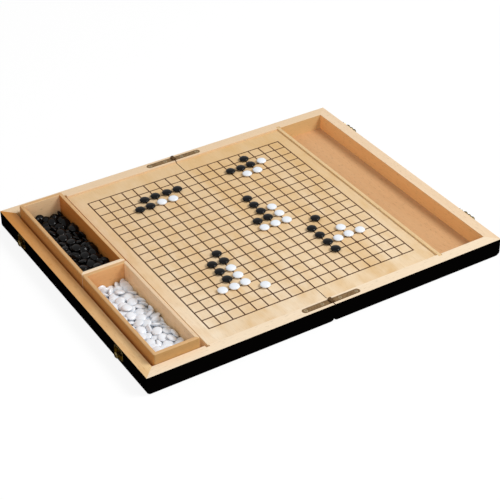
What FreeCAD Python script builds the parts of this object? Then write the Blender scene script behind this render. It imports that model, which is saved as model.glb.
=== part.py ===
"""Folding go board whose two halves form a shallow case, with two loose stone boxes.

The case lies open on a table.  X runs along its length, Y from front to back and Z up.
The origin is on the table, under the middle of the fold.  All sizes are in millimetres.
"""
import FreeCAD, Part
import math
import os
import random

# ---------------------------------------------------------------- the case
case_length = 478.0          # both halves, laid open
case_depth = 373.0
tray_width = 69.3            # edge of the playing panel to the end rail
rim_height = 24.0            # table to the top of the rails
fold_gap = 0.4               # between the two halves at the fold
rail_width = 14.5            # front, back and end rails, mitred at the corners
fold_rail_width = 12.0
bottom_edge_radius = 5.0     # round-over of the lacquered outside
base_thickness = 3.0
base_edge_inset = 9.0        # outside of the case to the edge of the base panel
panel_thickness = 3.0
panel_recess = 2.4           # rim to playing surface
panel_groove_depth = 2.0     # how far the playing panel enters the side rails
support_thickness = 5.0      # bearer under the outer edge of the playing panel
strip_thickness = 4.6        # upright strip along the right tray
strip_below_rim = 0.3
strip_housing_depth = 3.5    # how far the strip enters the side rails
strip_clearance = 0.1        # on each face of the strip, in its housings

# ---------------------------------------------------------------- strap hinges
hinge_from_edge = 7.5        # front or back of the case to the middle of a strap
hinge_width = 8.0
hinge_leaf_length = 39.0     # fold to the round end of a strap
hinge_leaf_thickness = 1.5
hinge_axis_above_rim = 0.3
knuckle_radius = 2.5
knuckle_split = 1.4          # middle of the strap to the gap between two knuckles
knuckle_gap = 0.2
knuckle_scoop = 0.4          # air around the knuckles, in the rail
hinge_pin_radius = 1.1
running_clearance = 0.05     # radial, where a piece turns on a pin or a screw
hinge_screw_places = (12.0, 34.0)
screw_head_radius = 2.3
screw_shank_radius = 1.1
screw_length = 10.0
screw_facets = 8             # small turned pieces are drawn with flats

# ---------------------------------------------------------------- hooks and catches
latch_from_edge = 62.5       # front or back of the case to each hook and catch
hook_pivot_below_rim = 4.6
catch_knob_below_rim = 10.2
latch_protrusion = 5.3       # outer face of the end rail to the domed heads
hook_collar_radius = 2.2     # shoulder of the hook's screw, against the case
hook_collar_thickness = 1.2
hook_thickness = 1.6
hook_side_gap = 0.3          # between the hook and what lies on each side of it
hook_boss_radius = 3.2
hook_arm_width = 2.6
hook_jaw_wall = 1.6
hook_jaw_clearance = 0.3     # around the neck of the knob
hook_tip_radius = 1.5
hook_screw_radius = 1.2
hook_screw_head_radius = 3.0
hook_screw_length = 10.0
latch_head_chamfer = 1.0     # bevel around the heads of the knobs and the hooks' screws
latch_facets = 12
catch_plate_width = 20.0
catch_plate_height = 15.0
catch_plate_thickness = 0.8
catch_plate_corner = 2.5
catch_plate_below_rim = 1.2
catch_neck_radius = 1.5
catch_knob_radius = 4.0
catch_neck_length = 9.0      # the part of the neck that is driven into the rail

# ---------------------------------------------------------------- stone boxes
box_height = 34.0
box_wall = 4.8
box_bottom_thickness = 3.0
box_end_gap = 3.0            # between a box and the end rail
box_finger_gap = 9.8         # between a box and the edge of the playing panel
box_front_gap = 0.5          # between the front box and the front rail
box_between_gap = 0.4
box_back_gap = 5.1           # between the back box and the back rail

# ---------------------------------------------------------------- grid and stones
grid_spaces = 18             # the grid has 19 lines each way
grid_margin_x = 15.7         # outermost line to the end edge of the playing panel
grid_margin_y = 25.3         # outermost line to the side rails
stone_spare = 3.0            # how much narrower a stone is than a cell
stone_thickness = 4.8
stone_gap = 0.2              # under a stone in play
stone_wander = 0.5           # how far a stone is laid off its point
wander_turn = 2.4            # radians from one stone's wander to the next one's
wander_turns = (7, 3)        # such turns for each column and each row

heap_low = 7.5               # depth of the packed stones under the top layer
heap_rise = 2.5              # how much higher the heap stands at its crest
heap_wall_gap = 0.4
heap_pitches = (1.17, 1.28)  # of the stones of one layer, along X and Y, in diameters
heap_tilt = 5.0              # degrees
heap_layer = 2.0             # centre to centre of the two top layers
heap_crest_rows = 3          # rows of the upper layer, about the crest
heap_seat = 0.55             # under a level stone of the top layer, so that it can lean
heap_stations = 13           # points along the curve of the heap's bed
heap_crests = {"white": 0.42, "black": 0.62}    # places along a box, as shares of its length

# rings of a stone from its underside to its top, as shares of its radius and of half its
# thickness: the underside, which lies on the board, has one ring fewer than the top
stone_rings = [(0.6, -1.0), (1.0, 0.0), (0.78, 0.55), (0.42, 1.0)]
stone_facets = 10
heap_stone_rings = [(0.55, -1.0), (1.0, 0.0), (0.55, 1.0)]
heap_stone_facets = 8

# columns and rows are counted from the centre point of the grid
black_left = [(-5, 7), (-4, 7), (-3, 7), (-2, 7), (-6, 6), (-5, 6),
              (-4, -2), (-4, -3), (-5, -3), (-5, -4), (-5, -5)]
white_left = [(-4, 6), (-3, 6), (-4, -4), (-4, -5), (-4, -6), (-5, -6), (-6, -6), (-3, -7)]
black_right = [(5, 8), (3, 7), (4, 7), (5, 7), (2, 3), (2, 2), (2, 1), (2, 0), (1, 0),
               (5, -2), (4, -3), (4, -4), (4, -5), (4, -6)]
white_right = [(6, 7), (4, 6), (5, 6), (3, 1), (3, 0), (3, -1), (2, -1), (1, -1),
               (6, -4), (5, -5), (6, -5), (7, -5)]

# ---------------------------------------------------------------- worked out from the sizes
fold_face = fold_gap / 2
half_length = case_length / 2
half_depth = case_depth / 2
tray_end = half_length - rail_width              # inner face of an end rail
rail_inside = half_depth - rail_width            # inner face of a side rail
panel_edge = tray_end - tray_width               # fold plane to the panel's end edge
cut_margin = 1.0                                 # how far a cut runs past the face it opens
same_place = 0.001                               # two heights or widths nearer than this agree
panel_top = rim_height - panel_recess
panel_bottom = panel_top - panel_thickness
hinge_axis_height = rim_height + hinge_axis_above_rim
hinge_offset = half_depth - hinge_from_edge
latch_offset = half_depth - latch_from_edge
hook_pivot_height = rim_height - hook_pivot_below_rim
catch_knob_height = rim_height - catch_knob_below_rim
hook_reach = hook_pivot_below_rim + catch_knob_below_rim + 2 * hinge_axis_above_rim
hook_inner_face = hook_collar_thickness + hook_side_gap
hook_outer_face = hook_inner_face + hook_thickness
latch_head_height = latch_protrusion - hook_outer_face - hook_side_gap
box_width = tray_width - box_end_gap - box_finger_gap
box_length = (2 * rail_inside - box_front_gap - box_between_gap - box_back_gap) / 2
cell_x = 2 * (panel_edge - grid_margin_x) / grid_spaces
cell_y = 2 * (rail_inside - grid_margin_y) / grid_spaces
stone_diameter = cell_x - stone_spare

ORIGIN = FreeCAD.Vector(0, 0, 0)
ALONG_X = FreeCAD.Vector(1, 0, 0)
ALONG_Y = FreeCAD.Vector(0, 1, 0)
ALONG_Z = FreeCAD.Vector(0, 0, 1)


# ---------------------------------------------------------------- simple solids
def block(x0, x1, y0, y1, z0, z1):
    """Box between two opposite corners."""
    return Part.makeBox(x1 - x0, y1 - y0, z1 - z0, FreeCAD.Vector(x0, y0, z0))


def rod(radius, start, direction, length):
    """Round bar from a point, along a direction."""
    return Part.makeCylinder(radius, length, FreeCAD.Vector(*start), direction)


def prism(corners, low, high):
    """Upright prism over a polygon given by its plan corners."""
    points = [FreeCAD.Vector(x, y, low) for x, y in corners]
    outline = Part.Wire(Part.makePolygon(points + points[:1]))
    return Part.Face(outline).extrude(FreeCAD.Vector(0, 0, high - low))


def faceted(sides, rings):
    """Turned solid with flat facets, from rings of (radius, height), from low to high."""
    outlines = []
    for radius, height in rings:
        corners = []
        for k in range(sides):
            angle = 2 * math.pi * (k + 0.5) / sides
            corners.append(FreeCAD.Vector(radius * math.cos(angle), radius * math.sin(angle),
                                          height))
        outlines.append(corners)
    faces = [Part.Face(Part.makePolygon(ring + ring[:1])) for ring in (outlines[0], outlines[-1])]
    for lower, upper in zip(outlines, outlines[1:]):
        for k in range(sides):
            after = (k + 1) % sides
            quad = [lower[k], lower[after], upper[after], upper[k], lower[k]]
            faces.append(Part.Face(Part.makePolygon(quad)))
    return Part.makeSolid(Part.makeShell(faces))


def mirror_x(shape):
    """The same piece on the other side of the fold."""
    return shape.mirror(ORIGIN, ALONG_X)


def mirror_y(shape):
    """The same piece on the other side of the middle line."""
    return shape.mirror(ORIGIN, ALONG_Y)


def outward(shape, side):
    """Turn a piece built along +Z so that it points out of the right or the left end."""
    turned = shape.copy()
    turned.rotate(ORIGIN, ALONG_Y, 90 * side)
    return turned


def save(name, shapes):
    """Write one node."""
    solids = shapes if isinstance(shapes, list) else [shapes]
    shape = solids[0] if len(solids) == 1 else Part.makeCompound(solids)
    shape.exportStep("parts/" + name + ".step")


# ---------------------------------------------------------------- one half of the case
def half_frame():
    """The right half's ring of rails in one piece, before it is parted at the mitres."""
    outside = block(fold_face, half_length, -half_depth, half_depth, 0, rim_height)
    bottom_edges = [edge for edge in outside.Edges if edge.BoundBox.ZMax < same_place]
    outside = outside.makeFillet(bottom_edge_radius, bottom_edges)
    hollow = block(fold_face + fold_rail_width, tray_end, -rail_inside, rail_inside,
                   -cut_margin, rim_height + cut_margin)
    over_fold_rail = block(fold_face - cut_margin, tray_end, -rail_inside, rail_inside,
                           panel_bottom, rim_height + cut_margin)
    return outside.cut(hollow).cut(over_fold_rail).cut(base_panel(cut_margin))


def base_panel(extra_below=0):
    """Bottom sheet, let into rebates under all four rails."""
    return block(fold_face + base_edge_inset, half_length - base_edge_inset,
                 -half_depth + base_edge_inset, half_depth - base_edge_inset,
                 -extra_below, base_thickness)


def playing_panel():
    """Playing surface: it runs over the fold rail and sits in the side rails' grooves."""
    reach = rail_inside + panel_groove_depth
    return block(fold_face, panel_edge, -reach, reach, panel_bottom, panel_top)


def strip_outline(extra):
    """Plan of the upright tray strip, grown on its faces by extra."""
    near = panel_edge + strip_clearance
    reach = rail_inside + strip_housing_depth
    return near - extra, near + strip_thickness + extra, reach


def tray_strip():
    near, far, reach = strip_outline(0)
    return block(near, far, -reach, reach, base_thickness, rim_height - strip_below_rim)


def strip_housings():
    near, far, reach = strip_outline(strip_clearance)
    return block(near, far, -reach, reach, base_thickness, rim_height + cut_margin)


def leaf_plan(grow_down=0.0):
    """A strap's plate: straight sides, and a half-round end away from the fold."""
    low = rim_height - hinge_leaf_thickness
    start = knuckle_radius + knuckle_gap
    half = hinge_width / 2
    straight_end = hinge_leaf_length - half
    height = hinge_leaf_thickness + grow_down
    plate = block(start, straight_end, -half, half, low, low + height)
    return plate.fuse(rod(half, (straight_end, 0, low), ALONG_Z, height)).removeSplitter()


def hinge_pocket():
    """What a strap takes out of a rail's top: its plate, and a scoop for the knuckles."""
    scoop_half = hinge_width / 2 + knuckle_gap
    scoop = rod(knuckle_radius + knuckle_scoop, (0, -scoop_half, hinge_axis_height),
                ALONG_Y, 2 * scoop_half)
    half = hinge_width / 2
    tongue = block(0, knuckle_radius + knuckle_gap, -half, half,
                   rim_height - hinge_leaf_thickness, rim_height + cut_margin)
    pocket = leaf_plan(cut_margin).fuse(scoop).fuse(tongue)
    for place in hinge_screw_places:
        hole = faceted(screw_facets, [(screw_shank_radius, rim_height - screw_length),
                                     (screw_shank_radius, rim_height)])
        hole.translate(FreeCAD.Vector(place, 0, 0))
        pocket = pocket.fuse(hole)
    return pocket


def hook_screw_hole():
    hole = outward(faceted(latch_facets, [(hook_screw_radius, -hook_screw_length),
                                         (hook_screw_radius, cut_margin)]), 1)
    hole.translate(FreeCAD.Vector(half_length, 0, hook_pivot_height))
    return hole


def catch_hole():
    """Hole in the left end rail for the neck of a knob."""
    hole = outward(faceted(latch_facets, [(catch_neck_radius, -catch_neck_length),
                                         (catch_neck_radius, cut_margin)]), -1)
    hole.translate(FreeCAD.Vector(-half_length, 0, catch_knob_height))
    return hole


def placed(shape, y):
    """A copy of a piece moved along Y."""
    moved = shape.copy()
    moved.translate(FreeCAD.Vector(0, y, 0))
    return moved


def half_rails():
    """Front, back, end and fold rails of the right half."""
    frame = half_frame()
    corner = (tray_end, rail_inside)
    outer_corner = (tray_end + 2 * rail_width, rail_inside + 2 * rail_width)
    low = -cut_margin
    high = rim_height + cut_margin
    near_fold = fold_face - cut_margin
    back = frame.common(prism([(near_fold, corner[1]), corner, outer_corner,
                               (near_fold, outer_corner[1])], low, high))
    end = frame.common(prism([(corner[0], -corner[1]), (outer_corner[0], -outer_corner[1]),
                              outer_corner, corner], low, high))
    fold = frame.common(block(near_fold, fold_face + fold_rail_width,
                              -rail_inside, rail_inside, low, high))
    back = back.cut(playing_panel()).cut(strip_housings())
    back = back.cut(placed(hinge_pocket(), hinge_offset))
    rails = {"front_rail": mirror_y(back), "back_rail": back, "end_rail": end,
             "fold_rail": fold}
    return {name: shape.Solids[0] for name, shape in rails.items()}


def panel_support():
    """Bearer that stands on the base and carries the playing panel's outer edge."""
    return block(panel_edge - support_thickness, panel_edge, -rail_inside, rail_inside,
                 base_thickness, panel_bottom)


def write_case():
    rails = half_rails()
    shared = {"base_panel": base_panel(), "playing_panel": playing_panel(),
              "panel_support": panel_support()}
    for name, shape in list(rails.items()) + list(shared.items()):
        right, left = shape, mirror_x(shape)
        if name == "end_rail":
            for y in (-latch_offset, latch_offset):
                right = right.cut(placed(hook_screw_hole(), y))
                left = left.cut(placed(catch_hole(), y))
        save("right_" + name, right.Solids[0])
        save("left_" + name, left.Solids[0])
    save("right_tray_strip", tray_strip())


# ---------------------------------------------------------------- strap hinges
def countersunk_screw():
    """Wood screw that hangs from z = 0, with its flat head at the top."""
    return faceted(screw_facets, [(screw_shank_radius, -screw_length),
                                 (screw_shank_radius, -hinge_leaf_thickness),
                                 (screw_head_radius, 0)])


def hinge_leaf(knuckle_spans, bore_radius):
    """Right-hand strap, with knuckles over the given spans of its width."""
    leaf = leaf_plan()
    low = rim_height - hinge_leaf_thickness
    start = knuckle_radius + knuckle_gap
    for y0, y1 in knuckle_spans:
        leaf = leaf.fuse(block(0, start, y0, y1, low, rim_height))
        leaf = leaf.fuse(rod(knuckle_radius, (0, y0, hinge_axis_height), ALONG_Y, y1 - y0))
    half = hinge_width / 2
    leaf = leaf.cut(rod(bore_radius, (0, -half, hinge_axis_height), ALONG_Y, hinge_width))
    for place in hinge_screw_places:
        screw = countersunk_screw()
        screw.translate(FreeCAD.Vector(place, 0, rim_height))
        leaf = leaf.cut(screw)
    return leaf.removeSplitter()


def hinge_pin():
    half = hinge_width / 2
    return rod(hinge_pin_radius, (0, -half, hinge_axis_height), ALONG_Y, hinge_width)


def write_hinges():
    """Two outer knuckles grip the pin on the left strap; the middle one turns on it."""
    half = hinge_width / 2
    inner = knuckle_split - knuckle_gap / 2
    outer = knuckle_split + knuckle_gap / 2
    right_leaf = hinge_leaf([(-inner, inner)], hinge_pin_radius + running_clearance)
    left_leaf = mirror_x(hinge_leaf([(-half, -outer), (outer, half)], hinge_pin_radius))
    screws = {1: [], -1: []}
    for end, y in (("front", -hinge_offset), ("back", hinge_offset)):
        save("right_" + end + "_hinge_leaf", placed(right_leaf, y))
        save("left_" + end + "_hinge_leaf", placed(left_leaf, y))
        save(end + "_hinge_pin", placed(hinge_pin(), y))
        for side in screws:
            for place in hinge_screw_places:
                screw = countersunk_screw()
                screw.translate(FreeCAD.Vector(side * place, y, rim_height))
                screws[side].append(screw)
    save("right_hinge_screws", screws[1])
    save("left_hinge_screws", screws[-1])


# ---------------------------------------------------------------- hooks and catches
def hook():
    """Swing hook on the right end, parked along +Y with its jaw open upwards.

    It is drawn flat on the XY plane, with its pivot at the origin, its length along Y
    and the jaw open towards -X, and is then stood against the end of the case.
    """
    jaw_inside = catch_neck_radius + hook_jaw_clearance
    jaw_outside = jaw_inside + hook_jaw_wall
    flat = rod(hook_boss_radius, (0, 0, 0), ALONG_Z, hook_thickness)
    half_arm = hook_arm_width / 2
    flat = flat.fuse(block(-half_arm, half_arm, 0, hook_reach - jaw_inside, 0, hook_thickness))
    flat = flat.fuse(rod(jaw_outside, (0, hook_reach, 0), ALONG_Z, hook_thickness))
    flat = flat.cut(rod(jaw_inside, (0, hook_reach, 0), ALONG_Z, hook_thickness))
    flat = flat.cut(block(-jaw_outside - cut_margin, 0, hook_reach - jaw_inside,
                          hook_reach + jaw_inside, 0, hook_thickness))
    flat = flat.fuse(rod(hook_tip_radius, (0, hook_reach + jaw_outside, 0), ALONG_Z,
                         hook_thickness))
    flat = flat.cut(rod(hook_screw_radius + running_clearance, (0, 0, 0), ALONG_Z,
                        hook_thickness))
    stood = outward(flat.removeSplitter(), 1)
    stood.translate(FreeCAD.Vector(half_length + hook_inner_face, 0, hook_pivot_height))
    return stood


def head_rings(radius):
    """Rings of a round head with a bevelled top, on a neck that ends where it starts."""
    return [(radius, latch_protrusion - latch_head_height),
            (radius, latch_protrusion - latch_head_chamfer),
            (radius - latch_head_chamfer, latch_protrusion)]


def hook_screw():
    """Round-headed screw that the hook turns on, with a shoulder against the case."""
    neck_top = latch_protrusion - latch_head_height
    rings = [(hook_screw_radius, -hook_screw_length), (hook_screw_radius, 0),
             (hook_collar_radius, 0), (hook_collar_radius, hook_collar_thickness),
             (hook_screw_radius, hook_collar_thickness), (hook_screw_radius, neck_top)]
    screw = outward(faceted(latch_facets, rings + head_rings(hook_screw_head_radius)), 1)
    screw.translate(FreeCAD.Vector(half_length, 0, hook_pivot_height))
    return screw


def catch_plate():
    """Plate on the left end, held by the knob's neck."""
    top = rim_height - catch_plate_below_rim
    half = catch_plate_width / 2
    plate = block(-half_length - catch_plate_thickness, -half_length, -half, half,
                  top - catch_plate_height, top)
    corners = [edge for edge in plate.Edges
               if max(edge.BoundBox.YLength, edge.BoundBox.ZLength) < same_place]
    return plate.makeChamfer(catch_plate_corner, corners).cut(catch_hole())


def catch_knob():
    """Knob that the hook's jaw closes on: a neck through the plate, and a round head."""
    rings = [(catch_neck_radius, -catch_neck_length),
             (catch_neck_radius, latch_protrusion - latch_head_height)]
    knob = outward(faceted(latch_facets, rings + head_rings(catch_knob_radius)), -1)
    knob.translate(FreeCAD.Vector(-half_length, 0, catch_knob_height))
    return knob


def write_latches():
    for end, y in (("front", -latch_offset), ("back", latch_offset)):
        save(end + "_hook", placed(hook(), y))
        save(end + "_hook_screw", placed(hook_screw(), y))
        save(end + "_catch_plate", placed(catch_plate(), y))
        save(end + "_catch_knob", placed(catch_knob(), y))


# ---------------------------------------------------------------- stone boxes
def box_places():
    """Front edge of each box: the white stones in front, the black ones behind."""
    white = -rail_inside + box_front_gap
    return {"white": white, "black": white + box_length + box_between_gap}


def box_left():
    return -tray_end + box_end_gap


def box_walls(front):
    """Four mitred walls and a bottom let in between them."""
    x0 = box_left()
    x1 = x0 + box_width
    y0 = front
    y1 = front + box_length
    outer = [(x0, y0), (x1, y0), (x1, y1), (x0, y1)]
    inner = [(x0 + box_wall, y0 + box_wall), (x1 - box_wall, y0 + box_wall),
             (x1 - box_wall, y1 - box_wall), (x0 + box_wall, y1 - box_wall)]
    low = base_thickness
    walls = {}
    for k, name in enumerate(("front_wall", "right_wall", "back_wall", "left_wall")):
        following = (k + 1) % len(outer)
        corners = [outer[k], outer[following], inner[following], inner[k]]
        walls[name] = prism(corners, low, low + box_height)
    walls["bottom"] = prism(inner, low, low + box_bottom_thickness)
    return walls


def heap_level(y, crest):
    """Height above the box's bottom of the packed stones under the top layer."""
    return heap_low + heap_rise * (1 + math.cos(2 * math.pi * (y - crest) / box_length)) / 2


def heap_bed(front, crest):
    """Packed lower stones as one solid: a low mound whose top is a smooth curve."""
    x0 = box_left() + box_wall + heap_wall_gap
    width = box_width - 2 * (box_wall + heap_wall_gap)
    y0 = front + box_wall + heap_wall_gap
    y1 = front + box_length - box_wall - heap_wall_gap
    low = base_thickness + box_bottom_thickness
    tops = []
    for k in range(heap_stations):
        y = y0 + (y1 - y0) * k / (heap_stations - 1)
        tops.append(FreeCAD.Vector(x0, y, low + heap_level(y, crest)))
    ground = [FreeCAD.Vector(x0, y1, low), FreeCAD.Vector(x0, y0, low)]
    outline = Part.Wire(Part.makePolygon(tops + ground + tops[:1]))
    return Part.Face(outline).extrude(FreeCAD.Vector(width, 0, 0))


def lens(rings, sides):
    """Stone about the origin, with flat facets in place of its two domes."""
    radius = stone_diameter / 2
    half = stone_thickness / 2
    return faceted(sides, [(radius * wide, half * high) for wide, high in rings])


def heap_stone(place, lean, heading):
    """Stone of a heap, leaning about a level axis with the given heading."""
    stone = lens(heap_stone_rings, heap_stone_facets)
    stone.rotate(ORIGIN, FreeCAD.Vector(math.cos(heading), math.sin(heading), 0), lean)
    stone.translate(place)
    return stone


def heap_stones(colour, front, crest):
    """Top layer over the whole heap, and a few rows of one more layer about its crest."""
    chance = random.Random(colour)
    pitch_x = stone_diameter * heap_pitches[0]
    pitch_y = stone_diameter * heap_pitches[1]
    middle_x = box_left() + box_width / 2
    middle_y = front + box_length / 2
    columns = int((box_width - 2 * box_wall - stone_diameter) // pitch_x) + 1
    rows = int((box_length - 2 * box_wall - stone_diameter) // pitch_y) + 1
    low = base_thickness + box_bottom_thickness + stone_thickness / 2 + heap_seat
    stones = []
    for layer in range(2):
        across = [middle_x + (i - (columns - layer - 1) / 2) * pitch_x
                  for i in range(columns - layer)]
        along = [middle_y + (j - (rows - layer - 1) / 2) * pitch_y for j in range(rows - layer)]
        if layer:
            along = sorted(along, key=lambda y: abs(y - crest))[:heap_crest_rows]
        for y in along:
            for x in across:
                z = low + heap_level(y, crest) + layer * heap_layer
                lean = chance.uniform(-heap_tilt, heap_tilt)
                stones.append(heap_stone(FreeCAD.Vector(x, y, z), lean,
                                         chance.uniform(0, math.pi)))
    return stones


def write_boxes():
    for colour, front in box_places().items():
        for name, shape in box_walls(front).items():
            save(colour + "_box_" + name, shape)
        crest = front + box_length * heap_crests[colour]
        save(colour + "_box_stone_bed", heap_bed(front, crest))
        save(colour + "_box_stones", heap_stones(colour, front, crest))


# ---------------------------------------------------------------- stones in play
def stone_place(column, row):
    """Middle of a stone in plan: its grid point, and a little wander that repeats."""
    angle = wander_turn * (wander_turns[0] * column + wander_turns[1] * row)
    return (column * cell_x + stone_wander * math.cos(angle),
            row * cell_y + stone_wander * math.sin(angle))


def write_play():
    groups = {"black_stones_left_half": black_left, "white_stones_left_half": white_left,
              "black_stones_right_half": black_right, "white_stones_right_half": white_right}
    for name, points in groups.items():
        stones = []
        for column, row in points:
            x, y = stone_place(column, row)
            piece = lens(stone_rings, stone_facets)
            piece.translate(FreeCAD.Vector(x, y, panel_top + stone_gap + stone_thickness / 2))
            stones.append(piece)
        save(name, stones)


os.makedirs("parts", exist_ok=True)
write_case()
write_hinges()
write_latches()
write_boxes()
write_play()
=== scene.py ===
"""The looks of a folding go board with two stone boxes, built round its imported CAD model.

Sizes are in metres, in the CAD's frame: the origin is on the table under the middle of the
fold, +X runs to the half with the empty tray, +Y to the back and +Z up. The stones in the
boxes are poured in by a rigid body simulation.
"""
import math
import random

import bmesh
import bpy
from mathutils import Matrix, Vector


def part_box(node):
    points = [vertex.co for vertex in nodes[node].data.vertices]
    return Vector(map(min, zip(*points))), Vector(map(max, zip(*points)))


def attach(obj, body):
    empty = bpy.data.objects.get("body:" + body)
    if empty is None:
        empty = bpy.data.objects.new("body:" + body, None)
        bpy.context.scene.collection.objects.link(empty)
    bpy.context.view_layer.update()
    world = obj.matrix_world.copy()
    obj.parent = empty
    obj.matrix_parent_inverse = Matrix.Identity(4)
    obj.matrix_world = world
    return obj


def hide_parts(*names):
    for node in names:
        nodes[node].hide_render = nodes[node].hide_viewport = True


mm = 0.001

# ---------------------------------------------------------------- what the photograph gives
camera_azimuth = -31.849        # degrees
camera_elevation = 35.179
camera_roll = -0.2667
camera_distance = 1684.51 * mm
camera_aim = (-22.848 * mm, -44.135 * mm)      # point of the playing surface it looks at
camera_lens = 103.08            # on a square sensor 36 wide

# ---------------------------------------------------------------- the printed grid
cell_x = 15.5 * mm
cell_y = 16.3 * mm
cells_from_centre = 9
cells_to_star = 6
line_width = 1.75 * mm
star_radius = 2.1 * mm
ink_depth = 0.1 * mm
joint_line = 0.55 * mm          # dark edge of each playing panel at the fold
joint_dirt = (0.8 * mm, 0.5 * mm)       # where it begins and is full, from the fold

# ---------------------------------------------------------------- edges of the case and the boxes
rail_ease = 0.4 * mm
shortest_arris = 30 * mm        # shorter edges, such as those of the housings, stay crisp
top_reach = 0.25 * mm           # corners this near to a rail's top are on it
foot_round = 1.8 * mm           # along the front and back of the case
foot_end_round = 5.0 * mm       # at the outer ends, as the end rails have it
foot_fold_round = 4.6 * mm      # at the fold
foot_size = 8.0 * mm            # how far a foot reaches into its rail, in and up
solid_gap = 0.25 * mm           # the solids stop this far from the fold, or less
fold_gap = 0.02 * mm            # and the rails close up to this, so no light comes through
mitre_gap = 0.02 * mm           # a foot stops this far from its mitre
lacquer_depth = 5.5 * mm        # outer sides are black this far in, round their corners too
lacquer_height = 5.2 * mm       # and the case's round lower edge up to here
lacquer_run = 1.2 * mm          # how far lacquer ran into the outer joints
bare_top = 0.8 * mm             # but not up to the rim
panel_joint = 0.5 * mm          # faces nearer than this to the fold are its joint
box_outer_round = 1.5 * mm
box_inner_round = 0.9 * mm
box_corner_round = 2.4 * mm
least_corner = 0.15 * mm        # round of the boxes' inner corners
corner_steps = 8                # even, so that the mitre runs through a corner's middle
edge_steps = 5
strip_ease = 0.5 * mm
leaf_ease = 0.25 * mm
hook_ease = 0.45 * mm
plate_ease = 0.2 * mm
same_point = 0.002 * mm         # corners of one solid that are nearer than this are one
same_plane = math.radians(1)
sharp = math.radians(40)
smooth = math.radians(35)

# ---------------------------------------------------------------- stones
stone_radius = 6.25 * mm
stone_half = 2.4 * mm
stone_sides = 40
stone_rings = 9
black_in_box = 156              # a set has 181 black stones, of which 25 are on the board
white_in_box = 160              # and 180 white ones, of which 20 are on the board
seeds = {"screws": 8, "stones in play": 19, "pour": 361}

# ---------------------------------------------------------------- light
ambient_level = 0.40            # of the white surroundings, as light on the object
floor_glow = 0.87
floor_grey = 0.15               # what the floor reflects, which is what its shadows dim
floor_reach = 12.0
floor_drop = 0.3 * mm           # below the case's flat bottom
key_light = {"azimuth": 50, "elevation": 50, "distance": 3.0, "size": 1.3, "level": 0.66}
fill_light = {"azimuth": -55, "elevation": 40, "distance": 3.0, "size": 1.8, "level": 0.16}

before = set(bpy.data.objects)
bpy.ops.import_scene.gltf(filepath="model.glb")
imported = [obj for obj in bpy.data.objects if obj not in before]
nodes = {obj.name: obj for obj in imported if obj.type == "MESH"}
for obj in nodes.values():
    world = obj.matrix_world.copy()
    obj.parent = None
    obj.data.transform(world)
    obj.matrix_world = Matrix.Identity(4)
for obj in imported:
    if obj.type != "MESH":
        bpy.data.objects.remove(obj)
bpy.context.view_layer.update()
rim_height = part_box("left_end_rail")[1].z
panel_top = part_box("right_playing_panel")[1].z
panel_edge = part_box("right_playing_panel")[1].x
half_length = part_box("right_end_rail")[1].x
half_depth = -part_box("right_front_rail")[0].y
hinge_line = sum(corner.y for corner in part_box("left_back_hinge_leaf")) / 2
strap_half = 3.9 * mm
HALVES = ("left", "right")
ENDS = ("front", "back")
COLOURS = ("black", "white")


# ---------------------------------------------------------------- material helpers
class Graph:
    """One material's nodes, with short ways to add and join them."""

    def __init__(self, name):
        self.material = bpy.data.materials.new(name)
        self.material.use_nodes = True
        self.tree = self.material.node_tree
        self.shader = self.tree.nodes["Principled BSDF"]

    def node(self, kind, inputs=(), **settings):
        """Adds a node; inputs is {socket: value or output socket}."""
        made = self.tree.nodes.new(kind)
        for key, value in settings.items():
            setattr(made, key, value)
        for socket, value in dict(inputs).items():
            self.put(made.inputs[socket], value)
        return made

    def put(self, socket, value):
        if isinstance(value, bpy.types.NodeSocket):
            self.tree.links.new(value, socket)
        else:
            socket.default_value = value

    def math(self, operation, *values):
        made = self.node("ShaderNodeMath", operation=operation)
        for socket, value in zip(made.inputs, values):
            self.put(socket, value)
        return made.outputs[0]

    def mix(self, factor, a, b, blend="MIX"):
        made = self.node("ShaderNodeMix", data_type="RGBA", blend_type=blend)
        self.put(made.inputs["Factor"], factor)
        for socket, value in zip((s for s in made.inputs if s.type == "RGBA"), (a, b)):
            self.put(socket, value)
        return next(s for s in made.outputs if s.type == "RGBA")

    def noise(self, vector, scale, detail=3.0, roughness=0.5, distortion=0.0):
        """Cloudy value round 0.5, whose forms are about 1 / scale metres wide."""
        return self.node("ShaderNodeTexNoise", {
            "Vector": vector, "Scale": scale, "Detail": detail, "Roughness": roughness,
            "Distortion": distortion}).outputs["Fac"]

    def spread(self, value, low, high, new_low=0.0, new_high=1.0):
        """Maps low..high to new_low..new_high, and holds what lies outside."""
        return self.node("ShaderNodeMapRange", {
            "Value": value, "From Min": low, "From Max": high,
            "To Min": new_low, "To Max": new_high}).outputs["Result"]

    def own(self):
        """The point in the CAD's frame, as it is at rest."""
        return self.node("ShaderNodeTexCoord").outputs["Object"]

    def xyz(self):
        return self.node("ShaderNodeSeparateXYZ", {0: self.own()}).outputs

    def place(self, stretch=(1, 1, 1)):
        """The point, shifted for each piece and then stretched, for its noises."""
        chance = self.node("ShaderNodeObjectInfo").outputs["Random"]
        shifted = self.node("ShaderNodeVectorMath", {0: self.own(), 1: chance}, operation="ADD")
        return self.node("ShaderNodeMapping", {
            "Vector": shifted.outputs[0], "Scale": stretch}).outputs[0]

    def bump(self, height, distance, strength=1.0):
        made = self.node("ShaderNodeBump", {
            "Height": height, "Distance": distance, "Strength": strength})
        self.put(self.shader.inputs["Normal"], made.outputs[0])

    def set(self, **values):
        for name, value in values.items():
            self.put(self.shader.inputs[name.replace("_", " ")], value)


def rgba(red, green, blue):
    return (red, green, blue, 1.0)


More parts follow.
